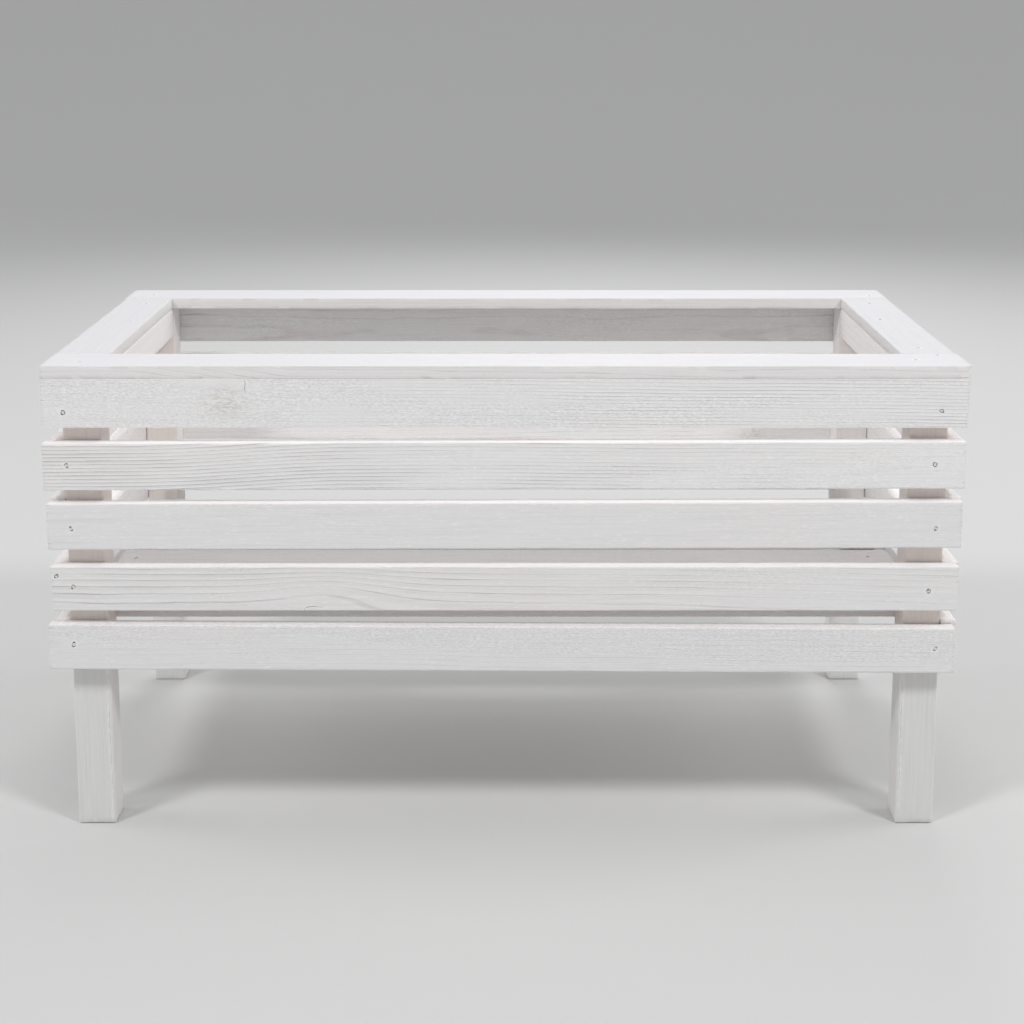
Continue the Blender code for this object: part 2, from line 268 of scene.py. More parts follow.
def makeBoardTree():
    tree, given, output = newTree(
        "sawn board", "GeometryNodeTree",
        [*numbers(plainBoard), *named("Vector", "Turn", "Place"), ("Cuts", "Object"),
         ("Paint", "Material")], [("Geometry", "Geometry")])
    cellCounts = [given["Cells Along"], given["Cells Deep"], given["Cells Across"]]
    halves = [given[side] * 0.5 for side in ("Length", "Thickness", "Width")]
    arris = given["Arris"]

    cube = node(tree, "GeometryNodeMeshCube", {
        "Size": combine(tree, *cellCounts),
        "Vertices X": cellCounts[0] + 1.0,
        "Vertices Y": cellCounts[1] + 1.0,
        "Vertices Z": cellCounts[2] + 1.0,
    })
    place = node(tree, "GeometryNodeInputPosition")
    eased = [
        easedCell(cell, cells, half, arris)
        for cell, cells, half in zip(place.split(), cellCounts, halves)
    ]
    sized = node(tree, "GeometryNodeSetPosition",
                 {"Geometry": cube, "Position": combine(tree, *eased)})

    # Rounded arris, then the worn surface, always inwards
    core = combine(tree, *[half - arris for half in halves])
    nearest = place.vector("MINIMUM", core).vector("MAXIMUM", scaled(core, -1.0))
    outward = place.vector("SUBTRACT", nearest).vector("NORMALIZE")
    seed = given["Seed"]
    shifted = place.vector("ADD", combine(tree, *[seed * step for step in boardShape["seedStep"]]))
    x, y, z = place.split()

    ring = ringField(place, shifted, given)
    wave = (ring * (2.0 * math.pi)).math("COSINE") * 0.5 + 0.5
    ridge = wave.math("POWER", boardShape["ridgePower"])
    least = boardShape["leastRelief"]
    strength = patches(shifted, woodNoise["strength"]) * (1.0 - least) + least
    strength = strength * (x / given["Length"] * given["Relief Lean"] + 1.0).atLeast(0.0)
    lean = z / given["Width"] * given["Fuzz Lean"] - x / given["Length"] * given["Fuzz Drift"]
    rough = patches(shifted, woodNoise["rough"]) + lean * 0.5
    cover = (given["Fuzz Cover"] - 0.5) * -0.5 + 0.5
    soft = boardShape["fuzzFade"]
    fuzzy = rough.step(cover - soft, cover + soft)
    fibre = patches(shifted, woodNoise["fibre"])
    lows = patches(shifted, woodNoise["lows"]) * given["Unevenness"]
    ax, ay, az = outward.vector("ABSOLUTE").split()
    edgeness = (1.0 - ax.atLeast(ay).atLeast(az)) * boardShape["edgeReach"]
    wear = patches(shifted, woodNoise["wear"]) * edgeness * arris * boardShape["arrisWear"]
    atEnd = ax.step(*boardShape["endZone"])
    tear = patches(shifted, woodNoise["tear"]) * given["End Tear"] * atEnd
    offEnd = 1.0 - atEnd
    grainDepth = given["Relief"] * (1.0 - ridge) * strength * offEnd
    fuzzDepth = given["Fuzz"] * (1.0 - fibre) * fuzzy * offEnd * boardShape["fuzzShare"]
    depth = grainDepth + fuzzDepth + lows + wear + tear
    rounded = nearest.vector("ADD", scaled(outward, arris - depth))
    worn = node(tree, "GeometryNodeSetPosition", {"Geometry": sized, "Position": rounded})

    # Ends sawn a little out of square, and one corner worn round
    endReach = halves[0] - boardShape["skewZone"]
    rightEnd = x.step(endReach, halves[0]) * given["Right Skew"] * (0.5 - z / given["Width"])
    leftEnd = (x * -1.0).step(endReach, halves[0]) * given["Left Skew"] * (0.5 - z / given["Width"])
    cornerX = (x - (halves[0] - given["Corner"])).atLeast(0.0)
    cornerZ = (z * -1.0 - (halves[2] - given["Corner"])).atLeast(0.0)
    reach = (cornerX.squared() + cornerZ.squared()).math("SQRT").atLeast(0.000001)  # never 0: it divides
    pull = 1.0 - cornerX.atLeast(cornerZ) / reach
    trimmed = combine(
        tree, x - cornerX * pull - rightEnd + leftEnd, y,
        z + cornerZ * pull + given["Lift"] * (z / given["Width"] + 0.5))
    squared = node(tree, "GeometryNodeSetPosition", {"Geometry": worn, "Position": trimmed})

    # Nail holes and splits
    cuts = node(tree, "GeometryNodeObjectInfo", {"Object": given["Cuts"]}, "Geometry")
    shape = node(tree, "GeometryNodeMeshBoolean", {"Mesh 1": squared, "Mesh 2": cuts}, "Mesh",
                 operation="DIFFERENCE", solver="EXACT")

    # What the paint reads: where it is on the board, the rings, the fuzz, the stains and the edge
    gaps = [half - part.math("ABSOLUTE") for half, part in zip(halves, (x, y, z))]
    nearer, farther = gaps[0].atMost(gaps[1]), gaps[0].atLeast(gaps[1])
    fromEdge = nearer.atLeast(farther.atMost(gaps[2]))
    inside = nearer.atMost(gaps[2]).step(*paintZones["inside"])
    toHole = node(tree, "GeometryNodeProximity", {0: cuts}, "Distance", target_element="FACES")
    anyHole = Wire(tree, toHole.socket.node.outputs["Is Valid"])
    atHole = (1.0 - toHole.step(*paintZones["fromHole"])) * anyHole
    # the legs above the bottom slat: warmer second paint there is painted shade, and their narrow faces
    # lose the painted light
    inLegShade = (x - given["Sheltered From"]).step(*paintZones["legShade"])
    sidesOutOfShade = 1.0 - inLegShade * given["Sheltered Sides"]
    # narrow faces, which take a lighter paint as painted light, except on the legs in the slats' shade
    narrow = (gaps[1] - gaps[2]).step(*paintZones["narrowFace"]) * sidesOutOfShade
    broad = patches(shifted, woodNoise["broad"]) + given["Second Share"]
    fromEnd = halves[0] - x.math("ABSOLUTE")
    opened = patches(shifted, woodNoise["opened"])
    for name, kind, value in (
        ("grainPlace", "FLOAT_VECTOR", shifted),
        ("ring", "FLOAT", ring),
        ("raised", "FLOAT", strength * given["Relief"] / boardShape["fullRelief"]),
        ("fuzzy", "FLOAT", fuzzy * given["Fuzz"] / boardShape["fullFuzz"]),
        ("stain", "FLOAT", resinStain(x, z, given)),
        # each board's own brightness at random, raised on the back and side slats and back legs as
        # painted light in the box's shade
        ("tone", "FLOAT", given["Tone"]),
        # the second paint: at random in broad patches on any board, and the warm painted shade on the
        # legs behind the slats
        ("second", "FLOAT", (inLegShade * 2.0 + broad).atLeast(0.0).atMost(1.0)),
        ("spotted", "FLOAT", patches(shifted, woodNoise["spotted"])),
        ("torn", "FLOAT", atHole * inside),
        ("crust", "FLOAT", atHole * (1.0 - inside)),
        ("narrowFace", "FLOAT", narrow),
        ("fromEdge", "FLOAT", fromEdge),
        ("endGrain", "FLOAT", fromEnd.step(*paintZones["endGrain"])),
        ("opened", "FLOAT", fromEnd.step(*paintZones["opened"]) * opened),
    ):
        shape = node(tree, "GeometryNodeStoreNamedAttribute",
                     {"Geometry": shape, "Name": name, "Value": value},
                     data_type=kind, domain="POINT")
    placed = node(tree, "GeometryNodeTransform", {
        "Geometry": shape, "Translation": given["Place"], "Rotation": given["Turn"]})
    smooth = node(tree, "GeometryNodeSetShadeSmooth", {"Geometry": placed})
    real = node(tree, "GeometryNodeRealizeInstances", {"Geometry": smooth})
    done = node(tree, "GeometryNodeSetMaterial", {"Geometry": real, "Material": given["Paint"]})
    join(tree, done, output.inputs[0])
    return tree


def bake(name, tree, values, spots=()):  # runs a geometry tree and keeps its result as a plain mesh
    source = bpy.data.meshes.new(name + "Source")
    source.from_pydata([place for place, outward in spots], [], [])
    if spots:
        outwards = source.attributes.new("outward", "FLOAT_VECTOR", "POINT")
        for item, (place, outward) in zip(outwards.data, spots):
            item.vector = outward
    holder = newObject(name + "Source", source)
    modifier = holder.modifiers.new("shape", "NODES")
    modifier.node_group = tree
    sockets = {item.name: item.identifier for item in tree.interface.items_tree
               if item.item_type == "SOCKET" and item.in_out == "INPUT"}
    for label, value in values.items():
        modifier[sockets[label]] = value
    evaluated = holder.evaluated_get(bpy.context.evaluated_depsgraph_get())
    mesh = bpy.data.meshes.new_from_object(evaluated)
    mesh.name = name
    holder.modifiers.clear()
    bpy.data.objects.remove(holder)
    bpy.data.meshes.remove(source)
    return newObject(name, mesh)


poses = {  # how a board lies, from the tree's frame: along X, outer face towards -Y
    "edge": Matrix.Identity(3),
    "flat": Matrix.Rotation(math.radians(-90), 3, "X"),
    "post": Matrix.Rotation(math.radians(-90), 3, "Y"),
}
levelZone = 0.004  # from each end, where the height of a board's end is read


def readBoard(name, pose, spin):  # the middle, size and turn of a board, read from its solid
    turn = Matrix.Rotation(math.radians(spin), 3, "Z") @ poses[pose]
    corners = [v.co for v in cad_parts[name].data.vertices]
    if pose == "edge":
        local = [turn.transposed() @ co for co in corners]
        middles = []
        for side in (-1, 1):
            reach = max(side * co.x for co in local)
            heights = [co.z for co in local if side * co.x > reach - levelZone]
            middles.append((min(heights) + max(heights)) / 2)
        span = max(co.x for co in local) - min(co.x for co in local)
        tilt = math.atan2(middles[1] - middles[0], span)
        turn = turn @ Matrix.Rotation(-tilt, 3, "Y")
    local = [turn.transposed() @ co for co in corners]
    low = Vector([min(co[axis] for co in local) for axis in range(3)])
    high = Vector([max(co[axis] for co in local) for axis in range(3)])
    return {"name": name, "turn": turn, "middle": turn @ ((low + high) / 2), "size": high - low}


def onFace(board, x, z):  # a spot on the outer face, in the model's frame
    return board["middle"] + board["turn"] @ Vector((x, -board["size"].y / 2, z))


def faceSpot(board, point):  # the other way: a point of the model, as (x, z) on the face
    local = board["turn"].transposed() @ (Vector(point) - board["middle"])
    return local.x, local.z


holeCut = {  # the torn hole over a sunk nail head
    "sides": 15,
    "rings": ((-0.0010, 1.16), (0.0002, 1.10), (0.0009, 1.0), (0.0028, 0.97)),  # depth, width
    "radius": 0.0022,
    "ragged": 0.08,
    "lobes": ((2, 0.13), (3, 0.09)),  # waves round the hole, and how far they reach
    "tall": (1.05, 1.4),
    "lean": 0.6, "shear": 0.3,  # how far a hole may lean, and how much of that shows
}


def skin(bm, rings):  # a closed solid through a row of rings
    for first, second in zip(rings, rings[1:]):
        for i in range(len(first)):
            j = (i + 1) % len(first)
            bm.faces.new((first[i], first[j], second[j], second[i]))
    bm.faces.new(rings[0])
    bm.faces.new(rings[-1])


def cutHoles(board, spots, splits, seed):  # one mesh of cutters, in the board tree's own frame
    bm = bmesh.new()
    draw = random.Random(seed)
    face = -board["size"].y / 2
    angles = [2 * math.pi * i / holeCut["sides"] for i in range(holeCut["sides"])]
    for x, z in spots:
        tall = draw.uniform(*holeCut["tall"])
        lean = draw.uniform(-holeCut["lean"], holeCut["lean"])
        turns = [draw.uniform(0, 2 * math.pi) for lobe in holeCut["lobes"]]
        jitter = []
        for angle in angles:
            reach = 1.0 + draw.uniform(-1, 1) * holeCut["ragged"]
            for (waves, swell), turn in zip(holeCut["lobes"], turns):
                reach += swell * math.cos(waves * angle + turn)
            jitter.append(reach)
        rings = []
        for depth, width in holeCut["rings"]:
            ring = []
            for angle, ragged in zip(angles, jitter):
                radius = holeCut["radius"] * width * ragged
                up = radius * math.sin(angle) * tall
                across = x + radius * math.cos(angle) + up * lean * holeCut["shear"]
                ring.append(bm.verts.new((across, face + depth, z + up)))
            rings.append(ring)
        skin(bm, rings)
    for path, width, depth, lower in splits:
        cutSplit(bm, path, width, depth, board["size"] / 2, lower)
    bmesh.ops.recalc_face_normals(bm, faces=bm.faces)
    mesh = bpy.data.meshes.new(board["name"] + "Cuts")
    bm.to_mesh(mesh)
    bm.free()
    return newObject(board["name"] + "Cuts", mesh)


splitCut = {
    "proud": 0.001,  # how far a cutter stands out of the board
    "tips": 0.35,  # of a step between points: how blunt the ends are
    "leastDepth": 0.4,
}


def cutSplit(bm, path, width, depth, half, lower):  # a thin V along a crack, narrow at both ends
    def spot(x, across, deep):  # on the outer face, or on the lower edge
        if lower:
            return bm.verts.new((x, across, deep - half.z))
        return bm.verts.new((x, deep - half.y, across))

    rows = []
    tips, least = splitCut["tips"], splitCut["leastDepth"]
    for number, (x, across) in enumerate(path):
        before = Vector(path[max(number - 1, 0)])
        after = Vector(path[min(number + 1, len(path) - 1)])
        way = (after - before).normalized()
        taper = math.sin(math.pi * (number + tips) / (len(path) - 1 + 2 * tips))
        side = Vector((-way.y, way.x)) * width / 2 * taper
        rows.append((
            spot(x + side.x, across + side.y, -splitCut["proud"]),
            spot(x - side.x, across - side.y, -splitCut["proud"]),
            spot(x, across, depth * (least + (1 - least) * taper)),
        ))
    skin(bm, rows)


# Paint and steel

raisedGrain = {
    "ridgeStart": (0.15, 0.66), "ridgeEnd": (0.70, 0.80),  # within a ring, which counts from 0 to 1
    "lineStart": (0.72, 0.80), "lineEnd": (0.86, 0.95),
    "leastRaised": 0.55,  # of the relief, in its faintest patches
    "standing": (0.55, 0.62), "missing": (0.38, 0.45),  # parts of the hair noise that give hairs and gaps
    "fineDepth": 0.6,  # of the fine grain, beside the hairs
}
grainNoise = {
    "patchy": {"stretch": (9.0, 90.0, 90.0), "detail": 2.0, "range": (0.36, 0.62)},
    "fine": {"stretch": (70.0, 1000.0, 1000.0), "detail": 1.0},
    "hair": {"stretch": (250.0, 820.0, 820.0), "detail": 1.0},
}


def makeGrainGroup():
    tree, given, output = newTree(
        "raised grain", "ShaderNodeTree",
        [("Place", "Vector"),
         *named("Float", "Ring", "Raised", "Fuzzy", "Opened", "Line Depth", "Fibre Depth")],
        named("Float", "Height", "Lines", "Hairs"))
    place, fuzzy = given["Place"], given["Fuzzy"]
    part = given["Ring"].math("FRACT")
    least = raisedGrain["leastRaised"]
    patchy = (patches(place, grainNoise["patchy"]) * (1.0 - least) + least) * given["Raised"]
    ridge = part.step(*raisedGrain["ridgeStart"]) * (1.0 - part.step(*raisedGrain["ridgeEnd"]))
    lines = part.step(*raisedGrain["lineStart"]) * (1.0 - part.step(*raisedGrain["lineEnd"]))
    lines = lines * patchy.atLeast(given["Opened"])
    fine = patches(place, grainNoise["fine"]) - 0.5
    hair = patches(place, grainNoise["hair"])
    hairs = hair.step(*raisedGrain["standing"]) + hair.step(*raisedGrain["missing"]) - 1.0
    height = ((ridge * patchy - lines) * given["Line Depth"]
              + (fine * raisedGrain["fineDepth"] + hairs * fuzzy) * given["Fibre Depth"])
    for value, socket in zip((height, lines, hairs), output.inputs):
        join(tree, value, socket)
    return tree


paintNoise = {
    "streak": {"stretch": (7.0, 330.0, 330.0), "detail": 2.0, "roughness": 0.6},
    "fleck": {"stretch": (120.0, 560.0, 560.0), "detail": 1.0},
    "worn": {"stretch": (16.0, 240.0, 240.0), "detail": 2.0, "roughness": 0.6, "range": (0.46, 0.68)},
    "specks": {"stretch": (150.0, 520.0, 520.0), "detail": 1.0, "range": (0.5, 0.57)},
}
brushed = {
    "light": (0.64, 0.70), "dark": (0.27, 0.34),  # the parts of the fleck noise that give flecks
    "lightFleck": 0.9, "darkFleck": 0.6,  # their strength
    "leastThrough": 0.4,  # of what shows through along the rings, where the paint is thickest
    "stained": (0.12, 0.85),  # the stain's strength, from where it starts to show to where it is full
    "stainBase": 0.12, "stainCover": 0.8,  # the stain between its specks, and at most
    "crust": (0.95, 0.94, 0.94, 1),  # paint gathered round a nail hole
    "crustBase": 0.3, "crustSpecks": 0.5, "tornCover": 0.45,
    "roughness": 0.6, "wornRoughness": 0.14,  # of the paint, and what wear adds to it
}


def makePaintGroup():
    tree, given, output = newTree(
        "brushed paint", "ShaderNodeTree",
        [("Place", "Vector"),
         *named("Float", "Lines", "Hairs", "Fuzzy", "Stain", "Side", "Torn", "Crust", "Tone",
                  "Second Share", "Side Grain", "Show Through", "Nap", "Streaks", "Flecks"),
         *named("Color", "Paint", "Second", "Side Paint", "Thin", "Resin")],
        [("Colour", "Color"), ("Roughness", "Float")])
    place = given["Place"]
    colour = mixColour(tree, given["Second Share"], given["Paint"], given["Second"])
    # narrow faces take the lighter paint: painted light on the tops and edges
    colour = mixColour(tree, given["Side"], colour, given["Side Paint"])
    streak = patches(place, paintNoise["streak"])
    fleck = patches(place, paintNoise["fleck"])
    lightFlecks = fleck.step(*brushed["light"]) * brushed["lightFleck"]
    flecks = lightFlecks - (1.0 - fleck.step(*brushed["dark"])) * brushed["darkFleck"]
    # each board's own brightness at random, raised on the back and side slats and back legs as painted
    # light in the box's shade
    dull = (1.0 - (streak - 0.5).math("ABSOLUTE") * 2.0 * given["Streaks"]) * given["Tone"]
    dull = dull * (flecks * given["Flecks"] + 1.0)
    colour = mixColour(tree, 1.0, colour, combine(tree, dull, dull, dull), "MULTIPLY")
    worn = patches(place, paintNoise["worn"])
    sideGrain = given["Side"] * (given["Side Grain"] - 1.0) + 1.0
    least = brushed["leastThrough"]
    through = given["Lines"] * (worn * (1.0 - least) + least) * sideGrain
    colour = mixColour(tree, through * given["Show Through"], colour, given["Thin"])
    # standing hairs lighter and the gaps between them darker: painted highlight and shade on the fuzz
    hairShading = 1.0 + given["Hairs"] * given["Fuzzy"] * given["Nap"]
    colour = mixColour(tree, 1.0, colour, combine(tree, hairShading, hairShading, hairShading), "MULTIPLY")
    specks = patches(place, paintNoise["specks"])
    base = brushed["stainBase"]
    blotch = given["Stain"].step(*brushed["stained"]) * (specks * (1.0 - base) + base)
    colour = mixColour(tree, blotch * brushed["stainCover"], colour, given["Resin"])
    crust = given["Crust"] * (specks * brushed["crustSpecks"] + brushed["crustBase"])
    colour = mixColour(tree, crust, colour, brushed["crust"])
    colour = mixColour(tree, given["Torn"] * brushed["tornCover"], colour, given["Thin"])
    join(tree, colour, output.inputs[0])
    join(tree, worn * brushed["wornRoughness"] + brushed["roughness"], output.inputs[1])
    return tree


wearNoise = {
    "chips": {"stretch": (34.0, 120.0, 120.0), "detail": 2.0, "roughness": 0.62, "range": (0.56, 0.68)},
    "pores": {"stretch": (900.0, 420.0, 420.0), "detail": 2.0, "range": (0.45, 0.7)},
}
edgeZone = (0.0003, 0.0026)  # metres from an edge, between which its wear ends
edgeDirt, poreDirt = 0.2, 1.6


def makeWearGroup():
    tree, given, output = newTree(
        "handled edges", "ShaderNodeTree",
        [("Place", "Vector"), *named("Color", "Colour", "Bare", "Grime"),
         *named("Float", "From Edge", "End Grain", "Spotted", "Wear", "Dirt")],
        [("Colour", "Color")])
    place = given["Place"]
    close = 1.0 - given["From Edge"].step(*edgeZone)
    bared = close * patches(place, wearNoise["chips"]) * given["Wear"]
    pores = patches(place, wearNoise["pores"]) * given["End Grain"]
    dirt = (given["Spotted"] + close * edgeDirt + pores * poreDirt) * given["Dirt"]
    colour = mixColour(tree, bared, given["Colour"], given["Bare"])
    colour = mixColour(tree, dirt.atMost(1.0), colour, given["Grime"])
    join(tree, colour, output.inputs[0])
    return tree


grainGroup = makeGrainGroup()
paintGroup = makePaintGroup()
wearGroup = makeWearGroup()


def useGroup(tree, group, values):
    made = tree.nodes.new("ShaderNodeGroup")
    made.node_tree = group
    for label, value in values.items():
        join(tree, value, made.inputs[label])
    return {output.name: Wire(tree, output) for output in made.outputs}


def newMaterial(name):
    material = bpy.data.materials.new(name)
    material.use_nodes = True
    return material, material.node_tree, material.node_tree.nodes["Principled BSDF"]


def attribute(tree, name, out="Fac"):
    return node(tree, "ShaderNodeAttribute", (), out, attribute_name=name)


def paintedWood(name, look):
    material, tree, shader = newMaterial(name)
    place = attribute(tree, "grainPlace", "Vector")
    fuzzy = attribute(tree, "fuzzy")
    grain = useGroup(tree, grainGroup, {
        "Place": place, "Ring": attribute(tree, "ring"), "Raised": attribute(tree, "raised"),
        "Fuzzy": fuzzy, "Opened": attribute(tree, "opened"),
        "Line Depth": look["lineDepth"], "Fibre Depth": look["fibreDepth"]})
    paint = useGroup(tree, paintGroup, {
        "Place": place, "Lines": grain["Lines"], "Hairs": grain["Hairs"], "Fuzzy": fuzzy,
        "Stain": attribute(tree, "stain"), "Side": attribute(tree, "narrowFace"),
        "Tone": attribute(tree, "tone"), "Second Share": attribute(tree, "second"),
        "Torn": attribute(tree, "torn"), "Crust": attribute(tree, "crust"),
        "Flecks": look["flecks"], "Side Grain": look["sideGrain"],
        "Paint": (*look["paint"], 1), "Second": (*look["second"], 1),
        "Side Paint": (*look["litSidePaint"], 1),
        "Thin": (*look["thin"], 1), "Resin": (*look["resin"], 1),
        "Show Through": look["showThrough"], "Nap": look["hairShading"], "Streaks": look["streaks"]})
    edges = useGroup(tree, wearGroup, {
        "Place": place, "Colour": paint["Colour"], "From Edge": attribute(tree, "fromEdge"),
        "End Grain": attribute(tree, "endGrain"), "Spotted": attribute(tree, "spotted"),
        "Bare": (*look["bare"], 1), "Grime": (*look["grime"], 1),
        "Wear": look["wear"], "Dirt": look["dirt"]})
    bump = node(tree, "ShaderNodeBump", {"Height": grain["Height"], "Distance": look["bump"]})
    join(tree, edges["Colour"], shader.inputs["Base Color"])
    join(tree, paint["Roughness"], shader.inputs["Roughness"])
    join(tree, bump, shader.inputs["Normal"])
    shader.inputs["Specular IOR Level"].default_value = look["gloss"]
    return material


slatPaint = {  # two tones of the paint, a lighter paint on narrow faces as painted light on tops and edges, and what shows where it is thin
    "paint": (0.84, 0.818, 0.806), "second": (0.822, 0.815, 0.818), "litSidePaint": (0.89, 0.865, 0.86),
    "thin": (0.42, 0.365, 0.32), "resin": (0.55, 0.51, 0.41), "bare": (0.72, 0.64, 0.56),
    "grime": (0.40, 0.36, 0.32),
    "showThrough": 0.66, "sideGrain": 0.25,  # lines along the rings, and their share on narrow faces
    "hairShading": 0.12, "streaks": 0.13, "flecks": 0.07,  # how far painted shade and highlight on the hairs, brush marks and flecks change the paint
    "wear": 0.2, "dirt": 0.09,
    "lineDepth": 0.55, "fibreDepth": 0.18, "bump": 0.0006,  # parts of the bump, and its depth in metres
    "gloss": 0.3,
}
# darker than the slats' paint: painted shade that offsets the strong light on the rim's top; the lighter
# paint on its edges is painted light
rimPaint = {
    **slatPaint, "paint": (0.735, 0.72, 0.742), "second": (0.727, 0.722, 0.744),
    "litSidePaint": (0.82, 0.80, 0.795), "showThrough": 0.14, "sideGrain": 8.0, "streaks": 0.12,
    "flecks": 0.03, "dirt": 0.07, "lineDepth": 0.2, "fibreDepth": 0.1,
}
# the warm second paint is painted shade on the legs behind the slats
legPaint = {
    **slatPaint, "paint": (0.75, 0.745, 0.738), "second": (0.82, 0.75, 0.705),
    "litSidePaint": (0.85, 0.84, 0.83), "showThrough": 0.08, "sideGrain": 1.0, "streaks": 0.16,
    "flecks": 0.02, "hairShading": 0.06, "lineDepth": 0.1, "fibreDepth": 0.1,
}
# paler than the slats' paint: painted light in the shade inside the box
railPaint = {
    **slatPaint, "paint": (0.91, 0.875, 0.865), "second": (0.90, 0.87, 0.865),
    "litSidePaint": (0.91, 0.875, 0.865), "showThrough": 0.22, "lineDepth": 0.3,
}
# also paler than the slats' paint: painted light in the box's shade
floorPaint = {
    **railPaint, "paint": (0.90, 0.87, 0.86), "second": (0.89, 0.87, 0.865),
    "litSidePaint": (0.90, 0.87, 0.86),
}
sunkSteel = {
    "paint": (0.78, 0.765, 0.76), "steel": (0.13, 0.115, 0.10),
    "cover": {"stretch": (560.0, 560.0, 560.0), "detail": 2.0, "roughness": 0.6, "range": (0.36, 0.46)},
    "paintRough": 0.6, "steelRough": 0.42, "metal": 0.8, "bump": 0.0002,
}


def paintedSteel():  # nail heads that the brush went over
    material, tree, shader = newMaterial("nailSteel")
    place = node(tree, "ShaderNodeTexCoord", out="Object")
    cover = patches(place, sunkSteel["cover"])
    colour = mixColour(tree, cover, (*sunkSteel["steel"], 1), (*sunkSteel["paint"], 1))
    rough = cover * (sunkSteel["paintRough"] - sunkSteel["steelRough"]) + sunkSteel["steelRough"]
    bump = node(tree, "ShaderNodeBump", {"Height": cover, "Distance": sunkSteel["bump"]})
    join(tree, colour, shader.inputs["Base Color"])
    join(tree, rough, shader.inputs["Roughness"])
    join(tree, (1.0 - cover) * sunkSteel["metal"], shader.inputs["Metallic"])
    join(tree, bump, shader.inputs["Normal"])
    return material


nailSteel = paintedSteel()

paints = {
    "rim_paint": paintedWood("rimPaint", rimPaint),
    "slat_paint": paintedWood("slatPaint", slatPaint),
    "leg_paint": paintedWood("legPaint", legPaint),
    "rail_paint": paintedWood("railPaint", railPaint),
    "floor_paint": paintedWood("floorPaint", floorPaint),
}
print("paints mixed:", len(paints))


# Boards

boardTree = makeBoardTree()

plainGrain = {  # ranges that a board's grain is drawn from
    "Pith Across": (-0.16, 0.16), "Pith Deep": (0.015, 0.11), "Ring Pitch": (0.0028, 0.0044),
    "Taper": (-0.012, 0.012), "Wander": (0.003, 0.009), "Relief": (0.00012, 0.00026),
    "Fuzz": (0.00005, 0.00014), "Fuzz Cover": (0.25, 0.75), "Fuzz Lean": (-0.4, 0.4),
    "Unevenness": (0.0001, 0.0004), "Tone": (0.985, 1.015),
}

groups = {  # cell is the mesh's step along, across and through the board; grain is given in ranges
    "longRim": {"pose": "flat", "slot": "rim_paint", "cell": (0.0045, 0.0022, 0.0020),
                "grain": {"Relief": (0.00005, 0.0001), "Fuzz": (0.00001, 0.00003),
                          "Arris": (0.00024, 0.0003), "Unevenness": (0.00004, 0.00008)}},
    "sideRim": {"pose": "flat", "slot": "rim_paint", "cell": (0.0045, 0.0024, 0.0024),
                "grain": {"Relief": (0.00005, 0.0001), "Fuzz": (0.00001, 0.00003)}},
    "frontSlat": {"pose": "edge", "slot": "slat_paint", "cell": (0.0028, 0.0011, 0.0018),
                  "grain": {}},
    # back and side slats paler than the front ones: painted light in the shade inside the box
    "otherSlat": {"pose": "edge", "slot": "slat_paint", "cell": (0.0050, 0.0019, 0.003),
                  "grain": {"Tone": (1.09, 1.12)}},
    # front legs: the warm painted shade in full above the bottom slat, with no lighter sides there
    "frontLeg": {"pose": "post", "slot": "leg_paint", "cell": (0.0060, 0.0020, 0.0020),
                 "grain": {"Relief": (0.00006, 0.00012), "Fuzz": (0.00001, 0.00004),
                           "Arris": (0.0015, 0.002), "Second Share": (-1.0, -1.0),
                           "Sheltered From": (-0.064, -0.064), "Sheltered Sides": (1.0, 1.0)}},
    # back legs: paler as painted light in the box's shade, with part of the warm painted shade above the
    # bottom slat
    "backLeg": {"pose": "post", "slot": "leg_paint", "cell": (0.0060, 0.0024, 0.0024),
                "grain": {"Relief": (0.00006, 0.00012), "Fuzz": (0.00001, 0.00004),
                          "Arris": (0.0015, 0.002), "Second Share": (-1.9, -1.9),
                          "Sheltered From": (-0.064, -0.064), "Tone": (1.13, 1.16)}},
    "rail": {"pose": "edge", "slot": "rail_paint", "cell": (0.0070, 0.0030, 0.0030),
             "grain": {"Relief": (0.0001, 0.0002), "Fuzz": (0.00003, 0.00008)}},
    "floorBoard": {"pose": "flat", "slot": "floor_paint", "cell": (0.0065, 0.0026, 0.003),
                   "grain": {"Relief": (0.0001, 0.0002), "Fuzz": (0.00003, 0.00008)}},
}

